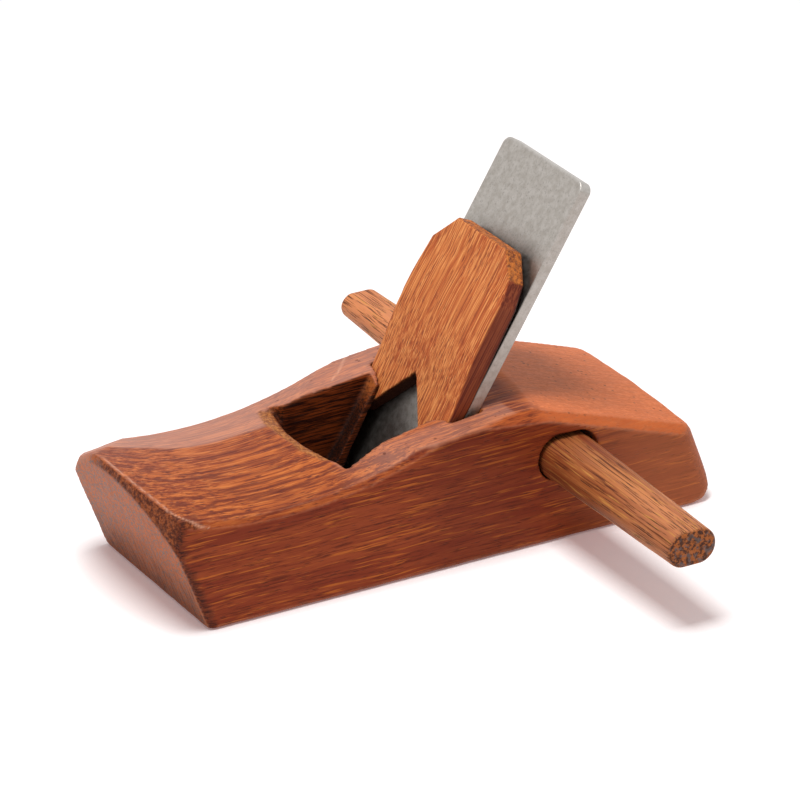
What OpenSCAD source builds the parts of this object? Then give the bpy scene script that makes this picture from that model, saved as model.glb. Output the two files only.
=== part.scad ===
// Small wooden smoothing plane: a hardwood body, a steel iron, a forked wedge and a loose cross handle.
// X runs from the toe to the heel, Y across the body and Z up; the origin is the middle of the sole.

/* [Body] */
// Nominal length of the body, from the toe's lower edge to the heel
sole_len = 100; // [94:0.5:110]
// Width of the body
body_w = 38; // [37:0.5:44]
// Lean of the toe's end face, which overhangs to the front, in degrees
toe_rake = 20.7; // [14:0.1:24]
// Lean of the heel's end face, in degrees
heel_rake = 20.3; // [14:0.1:24]
// Height of the toe's face at its middle, below the filed bevel
toe_h = 23.2; // [22:0.1:23.8]
// Height of the heel at the middle of its top edge
heel_h = 15.4; // [14:0.1:17]
// Radius of the heel's lower corner, seen from the side
heel_foot_r = 4; // [1.5:0.1:5]
// Radius of the heel's upright corners, seen from above
heel_corner_r = 4; // [1.5:0.1:5]
// Width of the eased edge along both sides of the toe's face
toe_edge = 0.9; // [0.4:0.1:1.5]
// Radius of the arch that the filed bevel gives the top of the toe's face
toe_arch_r = 24; // [22:0.5:30]
// Lean of the filed bevel from square to the toe's face, in degrees
toe_bevel = 51; // [42:1:58]

/* [Hand hollow] */
// Distance from the toe's lower edge to the lowest point of the hollow
hollow_from_toe = 14.5; // [10:0.5:18]
// Height of the hollow's lowest point, on the middle line
hollow_h = 20.8; // [19.5:0.1:21.5]
// Radius of the hollow along the middle line, seen from the side
hollow_r = 74.7; // [70:0.1:85]
// Fall of the hollow's surface from the middle line to the sides
hollow_crown = 2.6; // [1.8:0.1:3.2]
// Size of the eased edge along the hollow's sides
hollow_edge = 0.9; // [0.4:0.1:1.2]

/* [Hump and ramp] */
// Height of the hump's top
crest_h = 25.1; // [24.5:0.1:27]
// Radius of the hump's top, seen from the side
crest_r = 80; // [60:1:100]
// Rise of the flat that leads from the hollow to the hump, in degrees
crest_rise = 6.6; // [5:0.1:8]
// Distance from the back of the iron, at the hump's top, to the start of the ramp
ramp_gap = 9.8; // [8:0.1:12]
// Fall of the ramp's surface from the middle line to the sides
ramp_crown = 0.8; // [0.4:0.1:1.4]
// Lean of the ramp across, which leaves its far side higher, in degrees
ramp_twist = 0.65; // [0:0.05:1]
// Width of the bevel along the ramp's near side
ramp_bevel_w = 1.6; // [1:0.1:2.2]
// Width of the bevel along the ramp's far side
far_bevel_w = 0.6; // [0.3:0.1:1.6]

/* [Bed, throat and mouth] */
// Angle between the bed and the sole, in degrees
bed_angle = 58.5; // [55:0.5:61]
// Distance from the toe's lower edge to the iron's face at the sole
edge_from_toe = 38.1; // [36:0.1:40]
// Gap in front of the iron at the mouth
mouth_gap = 0.9; // [0.6:0.1:1.5]
// Height of the mouth's upright front wall
mouth_wall = 3; // [2:0.1:5]
// Distance from the toe's lower edge to the throat's front edge on top
throat_from_toe = 28.5; // [27:0.1:30]
// Width of the throat at its front edge
throat_front_w = 27.8; // [26:0.1:29]
// Width of the throat between its cheeks, in front of the abutments
throat_w = 21.6; // [20.6:0.1:22.4]
// Width between the inner edges of the abutments
abut_w = 16.6; // [15.6:0.1:18]
// Depth of the bevel on the throat's front edge, at the middle
lip_drop = 1.5; // [1:0.1:1.6]
// Bow of the throat's front edge to the toe, at the middle
lip_bow = 2; // [1:0.1:2.4]
// Gap beside the wedge on each side of its slot
slot_gap = 0.5; // [0.3:0.1:0.7]
// Gap beside the iron on each side at the mouth
mouth_side_gap = 0.4; // [0.2:0.1:0.6]

/* [Iron] */
// Width of the iron
iron_w = 25.4; // [24:0.1:26]
// Thickness of the iron
iron_t = 2.3; // [2:0.1:3]
// Length of the iron from its edge to its top
iron_len = 72.4; // [66:0.1:80]
// Height of the edge above the sole while the plane rests, with the iron drawn back
iron_lift = 0.35; // [0.2:0.05:0.5]
// Angle of the ground bevel on the iron's back, in degrees
iron_bevel = 27; // [24:1:32]
// Radius of the iron's top corners
iron_corner_r = 1.8; // [1:0.1:4]
// Gap between the iron and each part that it slides on
slide_gap = 0.03; // [0.02:0.01:0.05]

/* [Wedge] */
// Width of the wedge
wedge_w = 26.4; // [25.5:0.1:26.8]
// Thickness of the wedge where it leaves the body
wedge_t = 3.1; // [2.8:0.1:3.4]
// Taper of the wedge, in degrees
wedge_taper = 3; // [2:0.1:4]
// Length of the wedge above the hump's top, along the iron
wedge_top = 28; // [22:0.1:32]
// Length of the prongs below the hump's top, along the iron
wedge_prong = 9.6; // [8:0.1:11]
// Width of the notch between the prongs' tips
notch_w = 18.6; // [15:0.1:19.4]
// Shift of the notch to the far side, which leaves the near prong wider
notch_shift = 1.1; // [0:0.1:1.6]
// Length of the clipped top corners, along the wedge
clip_len = 6.6; // [3:0.1:8]
// Width of the clipped top corners, across the wedge
clip_w = 5.6; // [3:0.1:7]

/* [Cross handle] */
// Distance from the toe's lower edge to the handle's middle line
handle_from_toe = 69.9; // [69:0.1:72]
// Height of the handle's middle line above the sole
handle_h = 15; // [14.2:0.1:15.5]
// Half height of the handle's oval section inside the body
handle_r = 3.9; // [3.6:0.1:4.3]
// Half length of the flat on top of the oval section
handle_flat = 1.5; // [1:0.1:1.8]
// Half height of the section at the end that is held
handle_end_r = 3.3; // [2.8:0.1:3.6]
// Half height of the section at the thin end
handle_tip_r = 2.4; // [2:0.1:3]
// Length of the handle
handle_len = 113.3; // [105:0.1:120]
// Reach of the held end from the body's middle
handle_near = 59; // [50:0.5:65]
// Gap above the handle in its hole, while it rests on the hole's floor
handle_gap = 0.7; // [0.3:0.05:0.8]
// Size of the bevel round the handle's ends
handle_bevel = 0.5; // [0.2:0.1:1]

/* [Hidden] */
$fn = 96;
half_w = body_w / 2;
toe_x = -sole_len / 2;
side = body_w + 20;

// Length of the cuts that run past everything they trim.
reach = 90;

// The iron's face meets the sole at edge_x; along the bed, u runs up from there and w points to the front.
edge_x = toe_x + edge_from_toe;
exit_u = (crest_h - 0.1) / sin(bed_angle);
bed_x = edge_x + (iron_t + slide_gap) / sin(bed_angle) + crest_h / tan(bed_angle);
ramp_x = bed_x + ramp_gap;

// Line of the heel's face at the sole, before its lower corner is rounded.
heel_over = 1.3;
foot_k = (1 + sin(heel_rake)) / cos(heel_rake);
heel_x = sole_len / 2 + heel_over;
heel_top_x = heel_x - heel_h * tan(heel_rake);
twist_rise = half_w * tan(ramp_twist);
ramp_h = crest_h - 0.15 + twist_rise;
ramp_fall = atan((ramp_h - heel_h) / (heel_top_x - ramp_x));

// Length up the toe's slanted face, and height of the hollow at the throat's front edge.
toe_face = toe_h / cos(toe_rake);
lip_run = throat_from_toe - hollow_from_toe;
lip_z = hollow_h + hollow_r - sqrt(hollow_r * hollow_r - lip_run * lip_run) - lip_drop;

// Hump: an arc whose highest point is crest_x, led up to by a flat.
crest_back = 4.8;
crest_x = ramp_x - crest_back;
crest_x0 = crest_x - crest_r * sin(crest_rise);
crest_z0 = crest_h - crest_r * (1 - cos(crest_rise));

// Slot: as wide as the wedge with its gaps; its front face is parallel to the wedge's front.
slot_w = wedge_w + 2 * slot_gap;
mouth_w = iron_w + 2 * mouth_side_gap;
wedge_low_u = exit_u - wedge_prong;
wedge_high_u = exit_u + wedge_top;
notch_u = exit_u + 0.3;
abut_x = edge_x + exit_u * cos(bed_angle) - wedge_t / sin(bed_angle);
throat_x = toe_x + throat_from_toe;
narrow_x = abut_x - 3.9;

// Shift of the throat's front corners to the near side, and reach of the abutments in front of the wedge.
cheek_shift = 0.5;
abut_depth = 0.7;

// The throat's front wall leans from the mouth's wall to throat_x at the height front_z.
// Its bow runs out bow_depth lower down.
mouth_x = edge_x - mouth_gap;
front_z = hollow_h + 0.6;
wall_lean = (mouth_x - throat_x) / (front_z - mouth_wall);
bow_depth = 9.5;

// The handle rests on the floor of its hole, which is a little wider and higher.
handle_x = toe_x + handle_from_toe;
handle_far = handle_len - handle_near;
hole_r = handle_r + (handle_gap + slide_gap) / 2;
hole_h = handle_h + (handle_gap - slide_gap) / 2;
hole_flat = handle_flat + handle_gap / 4;

// Distance of the wedge's front face from the iron's face.
function wedge_w_at(u) = wedge_t + (u - exit_u) * tan(wedge_taper);

// Carries shapes drawn as [u, y, w] to their place on the bed.
module on_bed() {
  translate([edge_x, 0, 0]) rotate([0, -bed_angle, 0]) children();
}

// Side view [x, z] drawn across the body, y from -wide / 2 to wide / 2.
module across(wide) {
  translate([0, wide / 2, 0]) rotate([90, 0, 0]) linear_extrude(height = wide) children();
}

// Everything above the plane through a, b and c, as far as size reaches.
module above(a, b, c, size = reach) {
  m = cross(b - a, c - a);
  n = m.z > 0 ? m : -m;
  translate(a) rotate([0, acos(n.z / norm(n)), atan2(n.y, n.x)])
    translate([-size / 2, -size / 2, 0]) cube([size, size, 20]);
}

// What an arc of radius r takes off a square corner at the origin whose sides run to -x and -y.
module corner_waste(r) {
  difference() {
    translate([-r, -r]) square([r + 2, r + 2]);
    translate([-r, -r]) circle(r);
    translate([-r - 4, -r - 4]) square([4, r + 8]);
    translate([-r - 4, -r - 4]) square([r + 8, 4]);
  }
}

// Oval section: two arcs of radius r whose centres are 2 * flat apart.
module oval(r, flat) {
  translate([-flat, 0]) circle(r);
  translate([flat, 0]) circle(r);
  square([2 * flat, 2 * r], center = true);
}

// Side outline of the blank with both raked ends and the rounded foot of the heel.
module blank_side() {
  foot_x = heel_x - heel_foot_r * foot_k;
  difference() {
    polygon([[toe_x, 0], [heel_x, 0], [heel_x - 30 * tan(heel_rake), 30],
      [toe_x - 30 * tan(toe_rake), 30]]);
    difference() {
      polygon([[foot_x, -1], [heel_x + 3, -1], [heel_x + 3, heel_foot_r],
        [foot_x + heel_foot_r * cos(heel_rake), heel_foot_r * (1 + sin(heel_rake))],
        [foot_x, heel_foot_r]]);
      translate([foot_x, heel_foot_r]) circle(heel_foot_r);
    }
  }
}

// Takes off the wood above the hollow: a surface of revolution about a cross axis, crowned to the middle.
module hollow_waste() {
  crown_r = pow(half_w, 2) / (2 * hollow_crown) + hollow_crown / 2;
  side_r = hollow_r + hollow_crown;
  translate([toe_x + hollow_from_toe, 0, hollow_h + hollow_r]) rotate([90, 0, 0])
    rotate_extrude($fn = 240) {
      difference() {
        translate([0, -half_w - 2]) square([side_r, body_w + 4]);
        translate([hollow_r + crown_r, 0]) circle(crown_r, $fn = 180);
      }
    }
}

// Eases the edges where the hollow meets the sides.
module hollow_edges() {
  side_r = hollow_r + hollow_crown;
  for (s = [-1, 1])
    translate([toe_x + hollow_from_toe, 0, hollow_h + hollow_r]) rotate([90, 0, 0])
      rotate_extrude($fn = 240)
        polygon([[side_r - 8, s * (half_w - hollow_edge - 0.2)],
          [side_r - 0.5, s * (half_w - hollow_edge - 0.2)],
          [side_r + hollow_edge + 0.2, s * (half_w + 0.2)], [side_r - 8, s * (half_w + 0.2)]]);
}

// Takes off the wood above the hump.
module crest_waste() {
  lead_x = throat_x + 4.5;
  lead_z = crest_z0 - (crest_x0 - lead_x) * tan(crest_rise);
  across(side) difference() {
    polygon([[lead_x, lead_z], [crest_x0, crest_z0], [crest_x, crest_z0], [crest_x + 12, crest_z0],
      [crest_x + 12, 40], [lead_x, 40]]);
    translate([crest_x, crest_h - crest_r]) circle(crest_r, $fn = 360);
  }
}

// Takes off the wood above the ramp, which is crowned across.
module ramp_waste() {
  crown_r = pow(half_w, 2) / (2 * ramp_crown) + ramp_crown / 2;
  translate([ramp_x, 0, ramp_h]) rotate([0, ramp_fall, 0]) rotate([ramp_twist, 0, 0])
    translate([-12, 0, 0]) rotate([90, 0, 90]) linear_extrude(height = 60) difference() {
      translate([-half_w - 2, -3]) square([body_w + 4, 24]);
      translate([0, -crown_r]) circle(crown_r, $fn = 720);
    }
}

// Takes off the flat bevels beside the ramp, and one that fans out beside the hump on the near side.
module side_bevels() {
  for (s = [-1, 1]) {
    bevel_w = s < 0 ? ramp_bevel_w : far_bevel_w;
    top_z = ramp_h - ramp_crown + s * twist_rise;
    a = [ramp_x, s * half_w, top_z - bevel_w];
    b = [heel_top_x, s * half_w, top_z - bevel_w - (heel_top_x - ramp_x) * tan(ramp_fall)];
    c = [ramp_x, s * (half_w - bevel_w), top_z + ramp_crown * (1 - pow(1 - bevel_w / half_w, 2))];
    fan = [bed_x - 7, s * half_w, crest_h - 0.5];
    above(a, b, c);
    if (s < 0) above(fan, a, c);
  }
}

// Files the top of the toe to an arch: what lies outside a cone that opens behind the toe's face.
module toe_arch() {
  translate([toe_x, 0, 0]) rotate([0, 90 - toe_rake, 0]) difference() {
    translate([-toe_face - 9, -half_w - 2, -1]) cube([24, body_w + 4, 7]);
    translate([toe_arch_r - toe_face, 0, -2])
      cylinder(h = 9, r1 = toe_arch_r - 2 * tan(toe_bevel), r2 = toe_arch_r + 7 * tan(toe_bevel),
        $fn = 360);
  }
}

// Takes off the toe's worn far corner, in two flats, and eases both upright edges.
module toe_waste() {
  a = [toe_x - 3.8, half_w, toe_h - 5.4];
  above([toe_x + 3, half_w, toe_h - 4.5], a, [toe_x - 7.5, half_w - 12, toe_h + 0.5]);
  above([toe_x - 5.5, half_w, toe_h - 8.4], a, [toe_x - 6.6, half_w - 3, toe_h - 5.6]);
  for (s = [-1, 1])
    translate([toe_x, s * half_w, 0]) rotate([0, -toe_rake, 0])
      rotate([0, 0, 45]) cube([toe_edge, toe_edge, reach], center = true);
}

// Rounds the heel's upright corners and bevels its top edge.
module heel_waste() {
  for (s = [-1, 1])
    translate([heel_x, s * half_w, 0]) rotate([0, -heel_rake, 0]) translate([0, 0, -6])
      linear_extrude(height = 30) scale([1, s]) corner_waste(heel_corner_r);
  translate([heel_top_x, 0, heel_h]) rotate([ramp_twist, 0, 0]) rotate([0, ramp_fall - 36, 0])
    translate([-0.75, -side / 2, -2]) cube([6, side, 6]);
}

// Slot for the iron and the wedge, from the mouth's wall up.
module slot() {
  low_u = (mouth_wall + 1.2) / sin(bed_angle);
  on_bed() across(slot_w) polygon([[low_u, -iron_t - slide_gap], [reach, -iron_t - slide_gap],
    [reach, wedge_w_at(reach) + slide_gap], [low_u + 1, wedge_w_at(low_u + 1) + slide_gap],
    [low_u, 0.6]]);
}

// Mouth through the sole.
module mouth() {
  back = edge_x + (iron_t + slide_gap) / sin(bed_angle);
  top = mouth_wall + 5;
  across(mouth_w) polygon([[mouth_x, -1], [back - 1 / tan(bed_angle), -1],
    [back + top / tan(bed_angle), top], [mouth_x, top]]);
}

// Throat seen from above: its near cheek flares evenly to the front, its far cheek only at the corner.
module throat_plan() {
  front = throat_front_w / 2;
  back = throat_w / 2;
  polygon([[throat_x - 6, -front - 2.2], [throat_x, -front - cheek_shift], [throat_x + 9, -back - 1.1],
    [narrow_x, -back], [abut_x + 3, -back], [abut_x + 3, back], [narrow_x, back],
    [throat_x + 2.3, back + 0.3], [throat_x, front - cheek_shift], [throat_x - 6, front + 0.6]]);
}

// Abutment on side s: its face stands parallel to the bed, in front of the wedge.
module abutment(s) {
  cheek = throat_w / 2 + 1;
  on_bed() rotate([90, 0, 90]) linear_extrude(height = 60)
    polygon([[s * abut_w / 2, 0], [s * abut_w / 2, wedge_t + abut_depth],
      [s * cheek, wedge_t + abut_depth + 0.3], [s * cheek, 0]]);
}

// Throat in front of the wedge, with a leaning front wall; the abutments are left standing in it.
module throat() {
  difference() {
    intersection() {
      across(side) polygon([[mouth_x, mouth_wall - 1], [mouth_x, mouth_wall],
        [mouth_x - 36 * wall_lean, mouth_wall + 36], [edge_x + 39 / tan(bed_angle), mouth_wall + 36],
        [edge_x + (mouth_wall - 1) / tan(bed_angle), mouth_wall - 1]]);
      linear_extrude(height = 40) throat_plan();
    }
    abutment(-1);
    abutment(1);
  }
}

// Slanted facets that ease the tops of the abutments for the wedge.
module abutment_tops() {
  for (s = [-1, 1])
    intersection() {
      above([abut_x - 3.1, s * (abut_w / 2 + 2.1), crest_h - 1.15],
        [abut_x - 0.6, s * (abut_w / 2 + 4), crest_h - 0.85],
        [abut_x - 1.3, s * abut_w / 2, crest_h - 2.4], 30);
      on_bed() translate([15, s < 0 ? -slot_w / 2 : abut_w / 2 - 2, wedge_t - 0.3])
        cube([25, (slot_w - abut_w) / 2 + 2, 9]);
    }
}

// Round scoop that bows the top of the front wall to the toe and runs out in the wall below.
module throat_scoop() {
  chord = throat_front_w / 2 - cheek_shift - 0.4;
  bow_r = (chord * chord + lip_bow * lip_bow) / (2 * lip_bow);
  intersection() {
    across(2 * chord + 0.3) polygon([[throat_x - 4, front_z + 3], [throat_x - 4, front_z - bow_depth - 2],
      [throat_x + 0.1 + wall_lean * (bow_depth + 2), front_z - bow_depth - 2],
      [throat_x + 0.1 - wall_lean * 3, front_z + 3]]);
    translate([throat_x - lip_bow, 0, front_z]) rotate([0, -atan(wall_lean + lip_bow / bow_depth), 0])
      translate([bow_r, 0, -30]) cylinder(h = 60, r = bow_r, $fn = 360);
  }
}

// Flat bevel that eases the throat's bowed front edge and runs out at the near side.
module throat_lip() {
  translate([throat_x, 0, lip_z]) rotate([-1.1, 13.4, 0])
    translate([-8, -half_w, 0]) cube([8.6, half_w + throat_front_w / 2 - cheek_shift - 0.5, 5]);
}

// The block with its top shaped, cut by cut.
module shaped_block() {
  difference() {
    difference() {
      difference() {
        across(body_w) blank_side();
        hollow_waste();
      }
      crest_waste();
    }
    ramp_waste();
  }
}

// The shaped block with its edges and corners eased.
module eased_block() {
  difference() {
    difference() {
      difference() {
        difference() {
          shaped_block();
          toe_arch();
        }
        hollow_edges();
      }
      side_bevels();
    }
    toe_waste();
    heel_waste();
  }
}

// Wood of the body, with every opening in it.
module body() {
  color([0.56, 0.26, 0.15]) difference() {
    difference() {
      difference() {
        eased_block();
        slot();
      }
      mouth();
    }
    throat();
    abutment_tops();
    throat_scoop();
    throat_lip();
    translate([handle_x, half_w + 1, hole_h]) rotate([90, 0, 0])
      linear_extrude(height = body_w + 2) oval(hole_r, hole_flat);
  }
}

// Flat plate with rounded top corners and a bevel ground on its back.
module iron() {
  low_u = iron_lift / sin(bed_angle);
  color([0.67, 0.65, 0.63]) on_bed() difference() {
    translate([low_u, 0, -iron_t]) linear_extrude(height = iron_t) difference() {
      translate([0, -iron_w / 2]) square([iron_len, iron_w]);
      for (s = [-1, 1])
        translate([iron_len, s * iron_w / 2]) scale([1, s]) corner_waste(iron_corner_r);
    }
    translate([low_u, 0, 0]) rotate([0, 180 + iron_bevel, 0])
      translate([-12, -iron_w / 2 - 1, 0]) cube([24, iron_w + 2, 8]);
  }
}

// Tapered board with two prongs, clipped top corners and a slightly slanted top.
module wedge() {
  color([0.75, 0.44, 0.25]) on_bed() difference() {
    across(wedge_w) polygon([[wedge_low_u, slide_gap], [wedge_high_u, slide_gap],
      [wedge_high_u - 0.3, wedge_w_at(wedge_high_u)], [wedge_low_u + 1, wedge_w_at(wedge_low_u + 1)],
      [wedge_low_u, 1.8]]);
    translate([0, 0, -2]) linear_extrude(height = 12) {
      polygon([[notch_u, notch_shift - 0.5], [notch_u, notch_shift + 0.5],
        [wedge_low_u - 0.1, notch_shift + notch_w / 2], [wedge_low_u - 0.1, notch_shift - notch_w / 2]]);
      for (s = [-1, 1])
        polygon([[wedge_high_u - clip_len, s * (wedge_w / 2 + 0.01)],
          [wedge_high_u - 2, s * (wedge_w / 2 - clip_w + 2.2)],
          [wedge_high_u + 0.1, s * (wedge_w / 2 - clip_w - 0.1)], [wedge_high_u + 0.1, s * wedge_w]]);
    }
  }
}

// One tapered length of the handle from y0, where its half height is r0, to y1.
module handle_run(y0, r0, y1, r1) {
  for (s = [-1, 1])
    translate([s * handle_flat, y0, 0]) rotate([-90, 0, 0]) cylinder(h = y1 - y0, r1 = r0, r2 = r1);
  translate([-handle_flat, 0, 0]) rotate([90, 0, 90]) linear_extrude(height = 2 * handle_flat)
    polygon([[y0, -r0], [y1, -r1], [y1, r1], [y0, r0]]);
}

// Oval stick, fullest inside the body and thinner to both ends.
module handle() {
  b = handle_bevel;
  color([0.60, 0.37, 0.21]) translate([handle_x, 0, handle_h]) {
    handle_run(-handle_near, handle_end_r - b, -handle_near + b, handle_end_r);
    handle_run(-handle_near + b, handle_end_r, -half_w, handle_r);
    handle_run(-half_w, handle_r, half_w, handle_r);
    handle_run(half_w, handle_r, handle_far - b, handle_tip_r);
    handle_run(handle_far - b, handle_tip_r, handle_far, handle_tip_r - b);
  }
}

body();
iron();
wedge();
handle();
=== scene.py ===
"""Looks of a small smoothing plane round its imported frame: body, iron, wedge and cross handle.

X runs from the toe to the heel, Y to the far side and Z up. Lengths here are in millimetres, and MM turns
them to metres where they go into a mesh. Inside the materials, places are in metres and scales per metre.
Each piece keeps values from 0 to 1 with its vertices, such as worn or shade, and its material lays its
tones by them.
"""
import math

import bmesh
import bpy
import numpy as np
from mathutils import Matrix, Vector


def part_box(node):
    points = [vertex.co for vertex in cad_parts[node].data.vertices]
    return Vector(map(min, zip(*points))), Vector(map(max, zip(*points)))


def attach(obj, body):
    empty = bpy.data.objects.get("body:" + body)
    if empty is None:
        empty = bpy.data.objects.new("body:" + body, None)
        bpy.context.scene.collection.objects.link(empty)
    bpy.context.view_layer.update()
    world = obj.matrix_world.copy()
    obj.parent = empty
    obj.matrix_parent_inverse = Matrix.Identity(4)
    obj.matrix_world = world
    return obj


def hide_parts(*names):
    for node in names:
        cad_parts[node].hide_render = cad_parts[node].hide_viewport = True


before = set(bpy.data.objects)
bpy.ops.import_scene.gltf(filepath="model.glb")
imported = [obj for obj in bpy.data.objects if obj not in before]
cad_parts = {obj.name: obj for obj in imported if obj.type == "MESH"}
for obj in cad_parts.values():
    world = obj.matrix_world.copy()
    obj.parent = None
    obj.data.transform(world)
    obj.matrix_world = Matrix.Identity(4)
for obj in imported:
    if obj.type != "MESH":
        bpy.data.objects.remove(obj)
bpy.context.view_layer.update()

MM = 0.001

# Body, as in the solids.
TOE_X = -50.0
HALF_W = 19.0
TOE_RAKE = math.radians(20.7)
TOE_FACE = 23.2 / math.cos(TOE_RAKE)
TOE_ARCH_R = 24.0
TOE_BEVEL = math.radians(51.0)
THROAT_X = -21.5
LIP_Z = 20.62
LIP_FACING = np.array([0.2317, 0.0192, 0.9726])

# Fine mesh of the body: its step, the height that still counts as its sole, the angle of a sharp edge, the
# parts of a step at which such an edge is followed, and how near, in steps, a vertex is set on it.
BODY_GRID = 0.438
SOLE_Z = 0.05
SHARP = math.radians(20.0)
EDGE_PARTS = 5
EDGE_REACH = 0.55

# Hand work on the toe: how far it goes behind the face, half the filed band's width and where the band
# fades out across the plane, the fringe's depth and top, the place and half width of a pale line of wear
# and painted highlight above the band, and the round of the near corner.
TOE_MARKS = 7.0
FILED_HALF = 0.35
FILED_END = 9.0
FILED_FADE = 7.0
FRINGE_DEPTH = 0.9
FRINGE_TORN = 1.8
FRINGE_NEAR = 2.6
FRINGE_TOP = 22.0
PALE_LINE_BEHIND = 0.9
PALE_LINE_HALF = 0.2
CORNER_BEHIND = 0.7
CORNER_R = 4.2

# Throat: the crumbled part of its lip, the room that its cut walls lie in, painted dark as cut wood and as
# shade, the height below which they stay as in the solid, the heights where its painted shade and its
# painted lit edge begin, and the far ridge, along which the pale line of wear and painted highlight runs.
LIP_THICK = 0.14
LIP_SPAN_X = (-24.9, -20.6)
LIP_SPAN_Y = (-10.2, 13.5)
ROOM_X = (-24.2, 8.0)
ROOM_Y = (-14.3, 14.3)
ROOM_Z = (0.5, 25.5)
HELD_Z = 10.0
SHADE_Z = (21.5, 18.0)
DARK_Z = (13.0, 4.0)
LIT_Z = (19.7, 22.5)
RIDGE_X = (-8.9, -6.4, -2.7)
RIDGE_Y = (12.7, 14.7, 18.7)
RIDGE_HALF = 0.25

# Painted sheen on the top, pale and pinkish: its border along the hollow, which turns out towards the toe,
# and its far side.
PALE_Y = 5.4
PALE_TURN_X = -40.0
PALE_TURN = 0.42
PALE_BACK_X = -22.0
PALE_FAR_Y = 10.5
PALE_END_X = 10.0

# Unevenness of the body: the mark it belongs to, its depth, the size of its lumps and its seed.
WAVES = ((0.05, (16, 5, 9), 3), (0.02, (4, 1.6, 1.6), 5))
ROUGHNESS = (("filed", 0.26, (1.3, 0.8, 0.9), 8), ("lip", 0.22, (0.9, 0.9, 0.9), 9),
             ("torn", 0.16, (1.0, 0.8, 0.8), 12), ("cut", 0.12, (5, 0.8, 0.8), 14))
DENTS = (0.14, (3, 2, 2), 11)

# Bed, iron and wedge: u runs up the bed from the iron's edge, w to the front.
BED = math.radians(58.5)
BED_FRONT = np.array([-math.sin(BED), 0.0, math.cos(BED)])
EDGE_X = -11.9
EXIT_U = 29.32
IRON_LOW = 0.41
IRON_TOP = 72.81
IRON_HALF = 12.7
IRON_T = 2.3
IRON_BEVEL = math.radians(27.0)
IRON_CORNER = 1.8
IRON_EASE = 0.14
IRON_ROWS = 120
IRON_SHARP = math.radians(40.0)
WEDGE_LOW = 19.72
WEDGE_HIGH = 57.1
WEDGE_HALF = 13.2
CLIP_NEAR = 4.5
CLIP_FAR = 5.3
TOP_NEAR = 7.7
TOP_FAR = 8.4
WEDGE_DRAW = 1.1
WEDGE_BULGE = 0.38
WEDGE_BACK = 0.03
WEDGE_STAND = 0.95
WEDGE_SWELL = 0.7
SWELL_TOP = 51.5
WEDGE_T = 3.1
WEDGE_TAPER = math.radians(3.0)
WEDGE_FOOT = 1.8
FOOT_SLOPE = 0.85
TOP_LEAN = 0.3
WEDGE_EDGE = 0.42
WEDGE_ROWS = 128
WEDGE_COLUMNS = 44
WALL_RINGS = 9
NOTCH_U = 29.62
NOTCH_HALF = 9.3
NOTCH_BLUNT = 0.5
NOTCH_SHIFT = 1.1
HALO_R = 2.3

# Cross handle: its skew and lift are shares of the way along it.
HANDLE_X = 19.9
HANDLE_Z = 15.0
HANDLE_FLAT = 1.5
HANDLE_SKEW = 0.004
HANDLE_LIFT = 0.0065
HANDLE_STATIONS = [-58.7, -19.0, 19.0, 54.3]
HANDLE_RADII = [3.3, 3.9, 3.9, 2.4]
HANDLE_FULLER = 0.12
HANDLE_BEVEL = 0.7
HANDLE_AROUND = 112
HANDLE_ROWS = 230
HOLE_R = 4.27
HOLE_Z = 15.33
HOLE_SKIN = 0.12
HOLE_RIM = 0.8

# Camera, light and floor.
CAMERA_TURN = math.radians(-29.822)
CAMERA_RISE = math.radians(25.152)
CAMERA_ROLL = math.radians(-0.135)
CAMERA_AWAY = 977.1
CAMERA_AIM = (-2.47, 0.0, 23.32)
CAMERA_LENS = 257.0
CAMERA_SENSOR = 36.0
AMBIENT = 0.44
KEY_PLACE = (-0.14, -0.05, 0.8)
KEY_AIM = (0.0, 0.0, 0.02)
KEY_SIZE = (0.29, 0.27)
KEY_POWER = 4.7
FLOOR_HALF = 4.0
FLOOR_DROP = 0.0004
FLOOR_FADE = (0.15, 0.3)
FLOOR_SHADE = (0.98, 1.0, 1.0)
FLOOR_GLOW = (0.18, 0.1, 0.1)

# Hash that gives each corner of a lattice its own height.
HASH_STEPS = np.array([73856093, 19349663, 83492791])
HASH_SEED = 2654435761
HASH_TOP = 0x7FFFFFFF


# Shapes.

def lumps(points, size, seed):
    """Smooth random heights from 0 to 1: hashed values on a lattice whose steps are size, blended between
    its corners with 3t squared less 2t cubed."""
    scaled = points / np.asarray(size)
    cell = np.floor(scaled).astype(np.int64)
    part = scaled - cell
    part = part * part * (3 - 2 * part)
    total = np.zeros(len(points))
    for corner in np.ndindex(2, 2, 2):
        at = (cell + np.array(corner)) * HASH_STEPS
        n = at[:, 0] ^ at[:, 1] ^ at[:, 2] ^ (seed * HASH_SEED)
        n = (n ^ (n >> 13)) & HASH_TOP
        n = (n * (n * n % HASH_TOP * 15731 % HASH_TOP + 789221) + 1376312589) & HASH_TOP
        share = np.prod(np.where(np.array(corner), part, 1 - part), axis=1)
        total += share * n / HASH_TOP
    return total


def step(values, low, high):
    """0 at low, 1 at high and even between them, whichever of the two is greater."""
    return np.clip((values - low) / (high - low), 0, 1)


def within(values, span):
    """True between the two ends of a span."""
    return (values > span[0]) & (values < span[1])


def line(distance, half):
    """1 on a line, falling off over about half a width on both sides of it."""
    return np.exp(-(distance / half) ** 2)


def arc_fall(into, radius):
    """How far an edge rounded to a radius has fallen at a distance into its round."""
    return radius - np.sqrt(np.clip(radius ** 2 - np.clip(into, 0, radius) ** 2, 0, None))


def smoothed(points, edges, rounds, share):
    """Each point moves by share towards the mean of the points it is joined to, rounds times."""
    a, b = edges.T
    count = len(points)
    joined = (np.bincount(a, minlength=count) + np.bincount(b, minlength=count))[:, None]
    for _ in range(rounds):
        mean = np.stack([np.bincount(a, points[b, k], count) + np.bincount(b, points[a, k], count)
                         for k in range(points.shape[1])], axis=1) / joined
        points = points + share * (mean - points)
    return points


def blurred(mask, edges, rounds):
    """A mask blurred over neighbouring vertices."""
    return smoothed(mask[:, None], edges, rounds, 0.5)[:, 0]


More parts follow.
